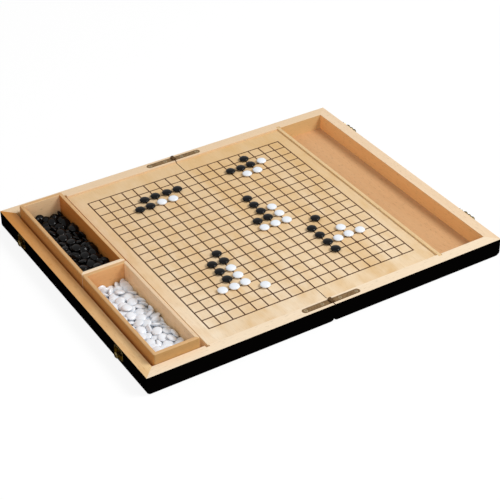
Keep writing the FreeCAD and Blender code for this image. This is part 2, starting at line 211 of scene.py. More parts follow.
# ---------------------------------------------------------------- wood
def wood(name, tones, along, streaks=0.55, flecks=0.35, roughness=0.42, specular=0.2,
         painted_back_shade=0.0, bands=0.0, black_skin=False, ink=None):
    """Beech under satin lacquer, with its grain along one axis.

    Broad streaks and fine fibres run along the grain, with the short dark flecks of beech.
    streaks, flecks and bands say how strongly they show, and painted_back_shade how much
    painted shade darkens the wood towards the back of the case. With black_skin, the
    outside's lacquer has run into the joints. ink(graph) is the share of ink or dirt at each
    point.
    """
    g = Graph(name)
    light, dark = (rgba(*tone) for tone in tones)

    def along_grain(share):
        """The point, with its forms drawn out along the grain to 1 / share of their width."""
        return g.place(stretch=(share, 1, 1) if along == "x" else (1, share, 1))

    grain = along_grain(0.05)
    broad = g.noise(grain, 55, detail=4, roughness=0.6, distortion=0.5)
    rings = g.noise(grain, 210, detail=3, roughness=0.55, distortion=0.25)
    fibre = g.noise(grain, 1500, detail=2, roughness=0.6)
    patch = g.noise(g.place(), 9, detail=2)
    fleck = g.noise(along_grain(0.16), 900, detail=1, roughness=0.4)

    tone = g.math("ADD", g.math("MULTIPLY", g.spread(broad, 0.3, 0.75), 0.55),
                  g.math("MULTIPLY", g.spread(rings, 0.3, 0.75), 0.3))
    tone = g.math("ADD", tone, g.math("MULTIPLY", g.spread(patch, 0.3, 0.7), 0.25))
    colour = g.mix(g.math("MULTIPLY", tone, streaks), light, dark)
    fleck_share = g.math("MULTIPLY", g.spread(fleck, 0.62, 0.76), flecks)
    colour = g.mix(fleck_share, colour, tuple(0.45 * c for c in dark[:3]) + (1.0,))
    if bands:
        band = g.noise(along_grain(0.12), 26, detail=2, roughness=0.45, distortion=0.3)
        mottle = g.noise(g.place(stretch=(1, 0.6, 1)), 75, detail=2, roughness=0.5)
        shade = g.math("ADD", g.math("MULTIPLY", g.spread(band, 0.36, 0.64), 0.7),
                       g.math("MULTIPLY", g.spread(mottle, 0.38, 0.68), 0.42))
        colour = g.mix(g.math("MULTIPLY", shade, bands), colour, dark)
    # Painted shade: the colour darkens towards the back of the case, standing in for less light
    # there.
    if painted_back_shade:
        back_shade_share = g.math("MULTIPLY", g.spread(g.xyz()[1], -half_depth, half_depth), painted_back_shade)
        colour = g.mix(back_shade_share, colour, dark)
    fibre_tone = g.spread(fibre, 0.25, 0.75, 0.94, 1.04)
    grey = g.node("ShaderNodeCombineXYZ", {"X": fibre_tone, "Y": fibre_tone, "Z": fibre_tone})
    colour = g.mix(1.0, colour, grey.outputs[0], blend="MULTIPLY")
    shine = g.spread(rings, 0.3, 0.75, roughness - 0.05, roughness + 0.08)
    if black_skin:
        colour = g.mix(near_outside(g), colour, rgba(0.003, 0.002, 0.002))
    if ink:
        mask = ink(g)
        colour = g.mix(mask, colour, rgba(0.065, 0.02, 0.004))
        shine = g.math("ADD", shine, g.math("MULTIPLY", mask, 0.12))
    height = g.math("ADD", g.math("MULTIPLY", fibre, 0.6), g.math("MULTIPLY", fleck_share, -0.8))
    g.set(Base_Color=colour, Roughness=shine, Specular_IOR_Level=specular)
    g.bump(height, 0.05 * mm, 0.5)
    return g.material


def near_outside(g):
    """Share of lacquer that has run into the joints at the case's outer sides."""
    x, y, z = g.xyz()
    from_end = g.math("SUBTRACT", half_length, g.math("ABSOLUTE", x))
    from_side = g.math("SUBTRACT", half_depth, g.math("ABSOLUTE", y))
    near = g.math("LESS_THAN", g.math("MINIMUM", from_end, from_side), lacquer_run)
    return g.math("MULTIPLY", near, g.math("LESS_THAN", z, rim_height - bare_top))


def grid_ink(g):
    """Share of ink at each point of the playing surface: 19 by 19 lines, and nine stars."""
    x, y, z = g.xyz()

    def off(value, pitch):
        """Distance to the nearest multiple of a pitch."""
        part = g.math("FRACT", g.math("ADD", g.math("DIVIDE", value, pitch), 0.5))
        return g.math("MULTIPLY", g.math("ABSOLUTE", g.math("SUBTRACT", part, 0.5)), pitch)

    def within(value, reach):
        return g.math("LESS_THAN", g.math("ABSOLUTE", value), reach)

    half_line = line_width / 2
    lines = g.math("MAXIMUM", g.math("LESS_THAN", off(x, cell_x), half_line),
                   g.math("LESS_THAN", off(y, cell_y), half_line))
    for value, cell in ((x, cell_x), (y, cell_y)):
        lines = g.math("MULTIPLY", lines, within(value, cells_from_centre * cell + half_line))
    star_x = off(x, cells_to_star * cell_x)
    star_y = off(y, cells_to_star * cell_y)
    from_star = g.math("SQRT", g.math("ADD", g.math("POWER", star_x, 2.0),
                                      g.math("POWER", star_y, 2.0)))
    stars = g.math("LESS_THAN", from_star, star_radius)
    for value, cell in ((x, cell_x), (y, cell_y)):
        stars = g.math("MULTIPLY", stars, within(value, (cells_to_star + 1) * cell))
    printed = g.math("MAXIMUM", lines, stars)
    on_top = g.math("GREATER_THAN", z, panel_top - ink_depth)
    worn = g.spread(g.noise(g.own(), 900, detail=2), 0.3, 0.7, 0.93, 1.0)
    ink = g.math("MULTIPLY", g.math("MULTIPLY", printed, on_top), worn)
    return g.math("MAXIMUM", ink, g.math("MULTIPLY", within(x, joint_line), 0.9))


def fold_joint(g):
    """Share of dirt in the open joint between the two halves."""
    return g.spread(g.math("ABSOLUTE", g.xyz()[0]), *joint_dirt)


# ---------------------------------------------------------------- other materials
def lacquer():
    """Black lacquer of the case's outside, with the faint waviness of a brushed coat."""
    g = Graph("black_lacquer")
    wave = g.noise(g.place(), 60, detail=3)
    g.set(Base_Color=rgba(0.0022, 0.0018, 0.0016), Specular_IOR_Level=0.0,
          Roughness=g.spread(wave, 0.3, 0.7, 0.26, 0.4))
    g.bump(wave, 0.15 * mm, 0.3)
    return g.material


def strap_dirt_and_shade(g):
    """Darker places on a hinge: painted shade along the strap's edges, as a domed strap would
    show, and darker at the knuckles.
    """
    x, y = g.xyz()[:2]
    from_middle = g.math("ABSOLUTE", g.math("SUBTRACT", g.math("ABSOLUTE", y), hinge_line))
    # Painted shade: darker towards the strap's long edges, standing in for the shading of a domed
    # strap.
    edges = g.spread(from_middle, 2.2 * mm, strap_half)
    # Darker at the knuckles.
    knuckle = g.spread(g.math("ABSOLUTE", x), 4.0 * mm, 2.4 * mm)
    return g.math("MAXIMUM", g.math("MULTIPLY", edges, 0.75), g.math("MULTIPLY", knuckle, 0.8))


def metal(name, bright, tarnished, roughness, dirt_and_shade=None, edge_tint=1.0):
    """Aged metal: darker in patches, with a fine satin tooth."""
    g = Graph(name)
    patches = g.noise(g.place(), 420, detail=4, roughness=0.65)
    tooth = g.noise(g.place(), 4200, detail=2)
    age = g.spread(patches, 0.38, 0.62)
    # For brass, the tarnish patches are joined by painted shade along the strap's edges and
    # darkening at the knuckles.
    if dirt_and_shade:
        age = g.math("MAXIMUM", g.math("MULTIPLY", age, 0.5), dirt_and_shade(g))
    g.set(Base_Color=g.mix(age, bright, tarnished), Metallic=1.0,
          Roughness=g.spread(patches, 0.35, 0.65, roughness - 0.1, roughness + 0.12),
          Specular_Tint=rgba(edge_tint, edge_tint, edge_tint))
    g.bump(tooth, 0.02 * mm, 0.4)
    return g.material


def stone(name, light, dark, roughness, specular):
    """Moulded plastic, a little cloudy, with tiny scuffs in its gloss."""
    g = Graph(name)
    cloud = g.noise(g.place(), 130, detail=2)
    scuff = g.noise(g.place(), 1600, detail=2, roughness=0.6)
    g.set(Base_Color=g.mix(g.spread(cloud, 0.3, 0.7), light, dark),
          Roughness=g.spread(scuff, 0.45, 0.75, roughness, roughness + 0.12),
          Specular_IOR_Level=specular)
    g.bump(cloud, 0.05 * mm, 0.15)
    return g.material


# The pale and the dark tone of each wood.
tones_of = {
    "rail": ((0.90, 0.70, 0.49), (0.76, 0.50, 0.28)),
    "cross": ((0.93, 0.765, 0.56), (0.80, 0.57, 0.35)),
    # end: the left end rail; its dark tone paints the stone boxes' shadow and warm bounce light
    # on it.
    "end": ((1.0, 0.80, 0.46), (0.54, 0.195, 0.014)),
    # inner: the wood's own orange, with its light tone raised as painted bounce light on the
    # rails' inner sides.
    "inner": ((1.0, 0.61, 0.27), (0.93, 0.47, 0.165)),
    "side": ((0.78, 0.55, 0.27), (0.64, 0.40, 0.16)),
    "strip": ((0.82, 0.59, 0.32), (0.68, 0.43, 0.19)),
    "floor": ((0.70, 0.42, 0.21), (0.54, 0.28, 0.12)),
    "left": ((0.98, 0.87, 0.70), (0.74, 0.48, 0.22)),
    "right": ((0.965, 0.815, 0.61), (0.72, 0.45, 0.185)),
    # box to red: lit and shaded copies of the boxes' wood, painted light and shade for their tops
    # and sides.
    "box": ((0.72, 0.44, 0.205), (0.55, 0.285, 0.105)),
    "deep": ((0.70, 0.33, 0.092), (0.51, 0.20, 0.045)),
    "pale": ((0.86, 0.64, 0.42), (0.70, 0.47, 0.27)),
    "bright": ((0.87, 0.70, 0.50), (0.86, 0.64, 0.42)),
    "front": ((0.68, 0.40, 0.155), (0.52, 0.26, 0.08)),
    "wall": ((1.0, 0.73, 0.44), (0.87, 0.57, 0.29)),
    "warm": ((0.92, 0.53, 0.235), (0.74, 0.36, 0.13)),
    "red": ((0.71, 0.27, 0.058), (0.51, 0.16, 0.028))}

rail_wood = wood("rail_wood", tones_of["rail"], "y")
# Front and back rails: painted_back_shade paints shade that darkens them towards the back.
cross_wood = wood("cross_wood", tones_of["cross"], "x", streaks=0.35, painted_back_shade=0.7,
                  ink=fold_joint)
# Left end rail: its dark orange tone and strong painted_back_shade are painted shadow of the
# stone boxes.
box_shaded_end_wood = wood("box_shaded_end_wood", tones_of["end"], "y", streaks=0.5, bands=0.3, painted_back_shade=0.95)
# Inner sides of end and fold rails: partly the wood's own tone, partly painted bounce light.
bounce_lit_inner_wood = wood("bounce_lit_inner_wood", tones_of["inner"], "y", black_skin=True)
side_wood = wood("side_wood", tones_of["side"], "x", black_skin=True)
strip_wood = wood("strip_wood", tones_of["strip"], "y")
floor_wood = wood("floor_wood", tones_of["floor"], "y", streaks=0.6, flecks=0.45,
                  roughness=0.5)
# Playing panels: painted_back_shade paints the light's falloff towards the back of each panel.
panel_wood = {half: wood(half + "_panel_wood", tones_of[half], "y", streaks=0.4, flecks=0.2,
                         roughness=0.36, specular=0.07, painted_back_shade=0.70, bands=0.68,
                         ink=grid_ink) for half in HALVES}
# The boxes' woods, by the direction of their grain: lit and shaded copies of one wood, painted
# light and shade.
lit_and_shaded_box_woods = {tone: {axis: wood(f"{tone}_wood_{axis}", tones_of[tone], axis) for axis in axes}
             for tone, axes in (("box", "xy"), ("deep", "y"), ("pale", "xy"), ("wall", "xy"),
                                ("warm", "x"), ("red", "y"), ("bright", "x"), ("front", "x"))}
black_lacquer = lacquer()
# Hinge brass: real tarnish, plus painted shade along the straps' edges.
brass = metal("aged_brass", rgba(0.285, 0.18, 0.088), rgba(0.08, 0.043, 0.019), 0.38,
              dirt_and_shade=strap_dirt_and_shade, edge_tint=0.6)
dark_brass = metal("dark_brass", rgba(0.20, 0.155, 0.07), rgba(0.05, 0.038, 0.015), 0.24,
                   edge_tint=0.2)
screw_metal = metal("screw_metal", rgba(0.46, 0.36, 0.22), rgba(0.26, 0.19, 0.11), 0.3)
nail_metal = metal("nail_metal", rgba(0.12, 0.10, 0.05), rgba(0.05, 0.04, 0.02), 0.22,
                   edge_tint=0.3)
black_plastic = stone("black_plastic", rgba(0.0045, 0.004, 0.004), rgba(0.003, 0.0027, 0.003),
                      0.10, 0.12)
white_plastic = stone("white_plastic", rgba(0.87, 0.91, 0.965), rgba(0.83, 0.87, 0.925),
                      0.16, 0.5)


# ---------------------------------------------------------------- meshes and pieces
def mesh_of(bm, name):
    mesh = bpy.data.meshes.new(name)
    bm.to_mesh(mesh)
    bm.free()
    return mesh


def block(name, size):
    bm = bmesh.new()
    bmesh.ops.create_cube(bm, size=1.0)
    mesh = mesh_of(bm, name)
    mesh.transform(Matrix.Diagonal((*size, 1.0)))
    return bpy.data.objects.new(name, mesh)


def dress(mesh, materials, choose=None):
    """Gives a mesh these materials; choose(centre, normal) is the index for one face."""
    mesh.materials.clear()
    for material in materials:
        mesh.materials.append(material)
    for face in mesh.polygons:
        face.material_index = choose(face.center, face.normal) if choose else 0


def paint(node, *materials, choose=None):
    dress(nodes[node].data, materials, choose)


def ease_edges(node, width, segments=2):
    """Takes the sharp arrises off a node, with modifiers that leave its own mesh alone."""
    piece = nodes[node]
    weld = piece.modifiers.new("join_corners", "WELD")
    weld.merge_threshold = same_point
    flat = piece.modifiers.new("join_flats", "DECIMATE")
    flat.decimate_type = "DISSOLVE"
    flat.angle_limit = same_plane
    flat.delimit = {"MATERIAL"}
    bevel = piece.modifiers.new("ease_edges", "BEVEL")
    bevel.width = width
    bevel.segments = segments
    bevel.limit_method = "ANGLE"
    bevel.angle_limit = sharp
    bevel.use_clamp_overlap = True
    piece.modifiers.new("even_shading", "WEIGHTED_NORMAL")


def case_finish(centre, normal):
    """0 for bare tops, 1 for black lacquer, 2 for the bare sides inside the case."""
    if outside(centre, normal):
        return 1
    beside_panel = abs(centre.x) < panel_edge and centre.z > panel_top
    return 0 if normal.z > 0.2 or beside_panel else 2


def outside(centre, normal):
    """Whether a face is lacquered black: outer sides, bottom and the fold's faces."""
    to_outside = min(half_length - abs(centre.x), half_depth - abs(centre.y))
    at_fold = abs(centre.x) < panel_joint and abs(normal.x) > 0.9
    rounded = centre.z < lacquer_height and normal.z < -0.05
    upright = to_outside < lacquer_depth and abs(normal.z) < 0.05
    outward = normal.x * centre.x + normal.y * centre.y > 0
    return (upright and outward) or rounded or at_fold


def make_foot(half, end):
    """Lower outer edge of a side rail, from the fold to just short of the mitre.

    The case's round-over is small along its front and back, and large at the fold and ends.
    """
    low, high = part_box(f"{half}_{end}_rail")
    to_end = -1 if half == "left" else 1
    inward = 1 if end == "front" else -1
    outer_y = low.y if end == "front" else high.y
    arc = [math.pi / 2 * step / (2 * edge_steps) for step in range(2 * edge_steps + 1)]
    stations = ([(fold_gap + foot_fold_round * (1 - math.cos(a)),
                  foot_fold_round * (1 - math.sin(a))) for a in arc]
                + [(half_length - foot_end_round * (1 - math.cos(a)),
                    foot_end_round * (1 - math.sin(a))) for a in reversed(arc)])
    bm = bmesh.new()
    rings = []
    for along, rise in stations:
        section = [(0, foot_size)]
        section += [(foot_round * (1 - math.cos(a)), rise + foot_round * (1 - math.sin(a)))
                    for a in arc]
        section += [(foot_size, rise), (foot_size, foot_size)]
        rings.append([bm.verts.new((to_end * along, outer_y + inward * depth, height))
                      for depth, height in section])
    count = len(rings[0])
    for ring, following in zip(rings, rings[1:]):
        for k in range(count):
            bm.faces.new([ring[k], ring[(k + 1) % count],
                          following[(k + 1) % count], following[k]])
    bm.faces.new(rings[0])
    bm.faces.new(rings[-1])
    bmesh.ops.recalc_face_normals(bm, faces=bm.faces)
    away = Vector((to_end, inward, 0)).normalized()
    corner = Vector((to_end * half_length, outer_y, 0))
    bmesh.ops.bisect_plane(bm, geom=bm.verts[:] + bm.edges[:] + bm.faces[:], dist=1e-7,
                           plane_co=corner - mitre_gap * away, plane_no=away,
                           clear_outer=True)
    bmesh.ops.holes_fill(bm, edges=bm.edges, sides=0)
    bmesh.ops.recalc_face_normals(bm, faces=bm.faces)
    return bpy.data.objects.new("foot", mesh_of(bm, "foot"))


def long_top_edges(bm):
    """The long arrises of a rail's top."""
    top = max(vert.co.z for vert in bm.verts)
    return [edge for edge in bm.edges
            if edge.calc_length() > shortest_arris and edge.calc_face_angle(0) > sharp
            and all(vert.co.z > top - top_reach for vert in edge.verts)]


def make_rail(half, name, feet, materials, eased=True):
    """A CAD rail, closed up at the fold, with eased top arrises and its foot joined on."""
    node = f"{half}_{name}"
    solid = nodes[node].data.copy()
    bm = bmesh.new()
    bm.from_mesh(solid)
    bmesh.ops.remove_doubles(bm, verts=bm.verts, dist=same_point)
    bmesh.ops.dissolve_limit(bm, angle_limit=same_plane, verts=bm.verts, edges=bm.edges)
    for vert in bm.verts:
        if abs(vert.co.x) < solid_gap:
            vert.co.x = math.copysign(fold_gap, vert.co.x)
    if eased:
        bmesh.ops.bevel(bm, geom=long_top_edges(bm), affect="EDGES", offset=rail_ease,
                        offset_type="OFFSET", segments=2, profile=0.5, clamp_overlap=False)
    bm.to_mesh(solid)
    bm.free()
    made = combined(bpy.data.objects.new(node, solid), feet, "UNION")
    made.name = node + "_dressed"
    bpy.context.scene.collection.objects.link(made)
    bm = bmesh.new()
    bm.from_mesh(made.data)
    bmesh.ops.remove_doubles(bm, verts=bm.verts, dist=same_point)
    bmesh.ops.dissolve_degenerate(bm, edges=bm.edges, dist=same_point)
    bm.to_mesh(made.data)
    bm.free()
    dress(made.data, materials, case_finish)
    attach(made, half + "_half")
    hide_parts(node)


def dress_case():
    for half in HALVES:
        for end in ENDS:
            make_rail(half, end + "_rail", [make_foot(half, end)],
                      (cross_wood, black_lacquer, side_wood))
        # The left end rail takes the box-shaded wood, whose colour holds painted shadow of the
        # stone boxes.
        make_rail(half, "end_rail", [],
                  (box_shaded_end_wood if half == "left" else rail_wood, black_lacquer, bounce_lit_inner_wood))
        make_rail(half, "fold_rail", [], (rail_wood, black_lacquer, bounce_lit_inner_wood), eased=False)
        paint(half + "_panel_support", rail_wood)
        paint(half + "_base_panel", floor_wood, black_lacquer,
              choose=lambda centre, normal: int(normal.z < -0.5))
        paint(half + "_playing_panel", panel_wood[half], black_lacquer,
              choose=lambda centre, normal: int(abs(centre.x) < panel_joint))
    paint("right_tray_strip", strip_wood)
    ease_edges("right_tray_strip", strip_ease)


def ring_corners(low, high, inset, radius):
    """Points around a rectangle with round corners, counter-clockwise from its right side."""
    points = []
    for k, (sx, sy) in enumerate(((1, 1), (-1, 1), (-1, -1), (1, -1))):
        middle = ((high.x - inset - radius) if sx > 0 else (low.x + inset + radius),
                  (high.y - inset - radius) if sy > 0 else (low.y + inset + radius))
        for step in range(corner_steps + 1):
            angle = math.pi / 2 * (k + step / corner_steps)
            points.append((middle[0] + radius * math.cos(angle),
                           middle[1] + radius * math.sin(angle)))
    return points


def wall_section(thickness, height):
    """Section of a box's wall, from its outer foot over its rounded top to its inner foot."""
    section = [(0, 0)]
    for ease, start, sign in ((box_outer_round, 0.0, 1), (box_inner_round, thickness, -1)):
        arc = [(start + sign * ease * (1 - math.cos(math.pi / 2 * step / edge_steps)),
                height - ease * (1 - math.sin(math.pi / 2 * step / edge_steps)))
               for step in range(edge_steps + 1)]
        section += arc if sign > 0 else arc[::-1]
    return section + [(thickness, 0)]


def make_box_frame(colour, tones):
    """The four walls of a stone box, mitred, with worn round edges and outer corners."""
    walls = ("back", "left", "front", "right")
    boxes = [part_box(f"{colour}_box_{wall}_wall") for wall in walls]
    low = Vector([min(box[0][i] for box in boxes) for i in range(3)])
    high = Vector([max(box[1][i] for box in boxes) for i in range(3)])
    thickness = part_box(colour + "_box_left_wall")[1].x - low.x
    bm = bmesh.new()
    rings = []
    for inset, height in wall_section(thickness, high.z - low.z):
        radius = max(box_corner_round - inset, least_corner)
        rings.append([bm.verts.new((x, y, low.z + height))
                      for x, y in ring_corners(low, high, inset, radius)])
    materials = []
    count = len(rings[0])
    per_corner = corner_steps + 1
    for lower, upper in zip(rings, rings[1:] + rings[:1]):
        for k in range(count):
            face = bm.faces.new([lower[k], lower[(k + 1) % count],
                                 upper[(k + 1) % count], upper[k]])
            corner, step = divmod(k, per_corner)
            wall = walls[(corner - (step < corner_steps / 2)) % 4]
            face.normal_update()
            axis = "x" if wall in ENDS else "y"
            # Tops and sides take lit and shaded copies of the wood: painted light and shade.
            material = lit_and_shaded_box_woods[tones[wall][int(abs(face.normal.z) < 0.6)]][axis]
            if material not in materials:
                materials.append(material)
            face.material_index = materials.index(material)
            face.smooth = True
    bmesh.ops.recalc_face_normals(bm, faces=bm.faces)
    mesh = mesh_of(bm, colour + "_box_frame")
    for material in materials:
        mesh.materials.append(material)
    piece = bpy.data.objects.new(colour + "_box_frame", mesh)
    bpy.context.scene.collection.objects.link(piece)
    piece.modifiers.new("even_shading", "WEIGHTED_NORMAL")
    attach(piece, colour + "_box")
    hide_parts(*(f"{colour}_box_{wall}_wall" for wall in walls))


def dress_boxes():
    """Each wall gets one tone for its top and one for its sides: painted light and shade, as lit
    and shaded copies of the box wood set by how light falls on each face.
    """
    tones = {"black": {"front": ("bright", "pale"), "back": ("box", "wall"),
                       "left": ("box", "deep"), "right": ("box", "red")},
             "white": {"front": ("box", "front"), "back": ("box", "warm"),
                       "left": ("box", "deep"), "right": ("pale", "wall")}}
    for colour in COLOURS:
        make_box_frame(colour, tones[colour])
        paint(colour + "_box_bottom", lit_and_shaded_box_woods["box"]["y"])


def dress_metal():
    for end in ENDS:
        for half in HALVES:
            paint(f"{half}_{end}_hinge_leaf", brass)
            ease_edges(f"{half}_{end}_hinge_leaf", leaf_ease)
        paint(end + "_hinge_pin", brass)
        paint(end + "_hook", dark_brass)
        ease_edges(end + "_hook", hook_ease, segments=3)
        paint(end + "_catch_plate", dark_brass)
        ease_edges(end + "_catch_plate", plate_ease)


# ---------------------------------------------------------------- turned pieces
def turned(points, round_steps=5):
    """Profile of (radius, height) points, with an arc at each (radius, height, ease) one."""
    profile = []
    for k, point in enumerate(points):
        if len(point) == 2:
            profile.append(point)
            continue
        corner, ease = Vector(point[:2]), point[2]
        before = Vector(points[k - 1][:2]) - corner
        after = Vector(points[k + 1][:2]) - corner
        start = corner + before.normalized() * ease
        end = corner + after.normalized() * ease
        for step in range(round_steps + 1):
            t = step / round_steps
            spot = start.lerp(corner, t).lerp(corner.lerp(end, t), t)
            profile.append((spot.x, spot.y))
    return profile


def combined(piece, others, operation):
    """A piece with the others cut out of it or joined to it; the others are used up."""
    scene = bpy.context.scene
    scene.collection.objects.link(piece)
    for other in others:
        scene.collection.objects.link(other)
        step = piece.modifiers.new("combine", "BOOLEAN")
        step.object = other
        step.operation = operation
        step.solver = "EXACT"
    bpy.context.view_layer.update()
    seen_piece = piece.evaluated_get(bpy.context.evaluated_depsgraph_get())
    mesh = bpy.data.meshes.new_from_object(seen_piece)
    dress(mesh, list(piece.data.materials)[:1])
    for face in mesh.polygons:
        face.use_smooth = False
    for used in (*others, piece):
        bpy.data.objects.remove(used)
    return bpy.data.objects.new("combined", mesh)


def carved(piece, cutters):
    """Mesh of a piece with each cutter's (size, place, turn about z) block taken out."""
    blocks = []
    for size, place, turn in cutters:
        blocks.append(block("cutter", size))
        blocks[-1].data.transform(Matrix.Translation(place) @ Matrix.Rotation(turn, 4, "Z"))
    return combined(piece, blocks, "DIFFERENCE")


def shade_smooth_by_angle(mesh):
    for face in mesh.polygons:
        face.use_smooth = True
    bm = bmesh.new()
    bm.from_mesh(mesh)
    for edge in bm.edges:
        if len(edge.link_faces) == 2:
            edge.smooth = edge.calc_face_angle(0) < smooth
    bm.to_mesh(mesh)
    bm.free()


def centre_of(node):
    low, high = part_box(node)
    return (Vector(low) + Vector(high)) / 2


def make_hinge_screws():
    """Countersunk screws with crossed slots, each turned to its own angle."""
    head, shank = 2.2 * mm, 0.9 * mm
    body = revolve("hinge_screw", turned([(0, -4 * mm), (shank, -3.6 * mm),
                                          (shank, -1.6 * mm), (head, -0.25 * mm, 0.1 * mm),
                                          (head, 0.0, 0.15 * mm), (0.9 * mm, 0.16 * mm),
                                          (0, 0.22 * mm)]), 32, screw_metal)
    slot = (2.5 * mm, 0.5 * mm, 1.15 * mm)
    template = carved(body, [(slot, (0, 0, 0), k * math.pi / 2) for k in range(2)])
    shade_smooth_by_angle(template.data)
    chance = random.Random(seeds["screws"])
    for half in HALVES:
        node = half + "_hinge_screws"
        places = []
        for centre in islands(node):
            spot = Vector((centre.x, centre.y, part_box(node)[1].z))
            places.append(Matrix.Translation(spot)
                          @ Matrix.Rotation(chance.uniform(0, math.pi), 4, "Z"))
        joined(half + "_hinge_screw_heads", template, places, half + "_half",
               [node])


def make_hook_screw(end, slot_turn):
    """Round-headed screw with a collar that the hook turns on."""
    node = end + "_hook_screw"
    low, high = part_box(node)
    shank, neck, collar_radius, head_radius = 1.1 * mm, 1.2 * mm, 2.2 * mm, 2.9 * mm
    collar = half_length - low.x
    collar_top = collar + 1.2 * mm
    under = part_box(end + "_hook")[1].x + 0.15 * mm - low.x
    head = high.x - low.x
    body = revolve(node, turned([
        (0, 0), (shank, 0.6 * mm), (shank, collar), (collar_radius, collar),
        (collar_radius, collar_top, 0.2 * mm), (neck, collar_top), (neck, under),
        (head_radius, under, 0.15 * mm), (head_radius, under + 0.7 * mm, 0.5 * mm),
        (1.9 * mm, head - 0.2 * mm, 0.4 * mm), (0, head)]), 40, dark_brass)
    template = carved(body, [((7 * mm, 0.7 * mm, 1.4 * mm), (0, 0, head), slot_turn)])
    shade_smooth_by_angle(template.data)
    joined(end + "_hook_pivot_screw", template, [facing(low.x, centre_of(node), 1)],
           "right_half", [node])


def make_hook_bosses(end):
    """The two domed discs that are cast on each hook, one at each side of its pivot."""
    low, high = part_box(end + "_hook")
    disc = high.x - low.x
    radius, shoulder, crown = 3.6 * mm, disc + 1.2 * mm, disc + 1.95 * mm
    boss = revolve("hook_boss", turned([
        (0, 0), (radius, 0.0), (radius, disc, 0.3 * mm), (3.2 * mm, disc),
        (3.0 * mm, shoulder, 0.6 * mm), (1.6 * mm, crown, 0.6 * mm),
        (0, disc + 2.05 * mm)]), 36, dark_brass)
    pivot = centre_of(end + "_hook_screw")
    joined(end + "_hook_bosses", boss,
           [facing(low.x, pivot + Vector((0, step, 0)), 1) for step in (-6.6 * mm, 6.6 * mm)],
           end + "_hook", [])


def make_knob(end):
    """Round knob on a catch plate, which the hook's jaw closes on."""
    node = end + "_catch_knob"
    low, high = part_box(node)
    stem, radius = 1.4 * mm, 3.85 * mm
    head = high.x - low.x
    under = head - 1.9 * mm
    template = revolve(node, turned([
        (0, 0), (stem, 0.6 * mm), (stem, under, 0.3 * mm),
        (radius, under + 0.1 * mm, 0.2 * mm), (radius, under + 0.75 * mm, 0.5 * mm),
        (2.7 * mm, head - 0.3 * mm, 0.6 * mm), (0, head)]), 40, dark_brass)
    joined(end + "_catch_button", template, [facing(high.x, centre_of(node), -1)],
           "left_half", [node])


def make_plate_nails(end):
    """A small round-headed nail in each corner of a catch plate."""
    low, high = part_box(end + "_catch_plate")
    inset = 2.6 * mm
    nail = revolve("plate_nail", turned([
        (0, 0), (0.95 * mm, 0.0), (0.9 * mm, 0.25 * mm, 0.1 * mm),
        (0.5 * mm, 0.48 * mm, 0.2 * mm), (0, 0.55 * mm)]), 20, nail_metal)
    places = [facing(low.x, Vector((0, y, z)), -1)
              for y in (low.y + inset, high.y - inset) for z in (low.z + inset, high.z - inset)]
    joined(end + "_catch_nails", nail, places, "left_half", [])


def facing(x, centre, side):
    """Stands a turned piece at x on an end of the case, out to the right (1) or left (-1)."""
    return (Matrix.Translation((x, centre.y, centre.z))
            @ Matrix.Rotation(side * math.pi / 2, 4, "Y"))


def revolve(name, profile, sides, material):
    """Turned piece about +Z, from (radius, height) points that start and end on the axis."""
    bm = bmesh.new()
    rings = []
    for radius, height in profile:
        if radius < 1e-7:
            rings.append([bm.verts.new((0, 0, height))])
            continue
        rings.append([bm.verts.new((radius * math.cos(2 * math.pi * k / sides),
                                    radius * math.sin(2 * math.pi * k / sides), height))
                      for k in range(sides)])
    for lower, upper in zip(rings, rings[1:]):
        for k in range(sides):
            corners = [lower[k % len(lower)], lower[(k + 1) % sides % len(lower)],
                       upper[(k + 1) % sides % len(upper)], upper[k % len(upper)]]
            bm.faces.new(list(dict.fromkeys(corners)))
    bmesh.ops.recalc_face_normals(bm, faces=bm.faces)
    for face in bm.faces:
        face.smooth = True
    mesh = mesh_of(bm, name)
    mesh.materials.append(material)
    return bpy.data.objects.new(name, mesh)


def stone_profile():
    """Section of a stone: two low domes that meet in a round rim."""
    rim_power, dome_power = 0.85, 1.15          # 1 and 1 would be an ellipse
    profile = []
    for k in range(2 * stone_rings + 1):
        angle = math.pi * (k / (2 * stone_rings) - 0.5)
        radius = stone_radius * math.cos(angle) ** rim_power
        height = stone_half * math.copysign(abs(math.sin(angle)) ** dome_power, angle)
        profile.append((radius if abs(math.cos(angle)) > 1e-6 else 0.0, height))
    return profile


def joined(name, template, places, body, replaced):
    """Copies of one mesh at many places, as one piece that rides on a body."""
    bm = bmesh.new()
    for place in places:
        copy = template.data.copy()
        copy.transform(place)
        bm.from_mesh(copy)
        bpy.data.meshes.remove(copy)
    mesh = mesh_of(bm, name)
    for material in template.data.materials:
        mesh.materials.append(material)
    piece = bpy.data.objects.new(name, mesh)
    bpy.context.scene.collection.objects.link(piece)
    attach(piece, body)
    if replaced:
        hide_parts(*replaced)


def islands(node):
    """Centre of each separate solid in a node."""
    bm = bmesh.new()
    bm.from_mesh(nodes[node].data)
    bmesh.ops.remove_doubles(bm, verts=bm.verts, dist=same_point)
    left = set(bm.verts)
    centres = []
    while left:
        group, queue = [], [left.pop()]
        while queue:
            vert = queue.pop()
            group.append(vert.co.copy())
            for edge in vert.link_edges:
                other = edge.other_vert(vert)
                if other in left:
                    left.remove(other)
                    queue.append(other)
        low = Vector(map(min, *group))
        high = Vector(map(max, *group))
        centres.append((low + high) / 2)
    bm.free()
    return sorted(centres, key=lambda c: (round(c.x, 5), round(c.y, 5), c.z))


def lay_stones(templates):
    """Stones in play, each on its own grid point and turned a little."""
    chance = random.Random(seeds["stones in play"])
    for colour in COLOURS:
        for half in HALVES:
            node = f"{colour}_stones_{half}_half"
            places = []
            for centre in islands(node):
                turn = Matrix.Rotation(chance.uniform(0, 2 * math.pi), 4, "Z")
                places.append(Matrix.Translation(centre) @ turn)
            joined(f"{colour}_stones_on_{half}_half", templates[colour], places,
                   half + "_play_stones", [node])


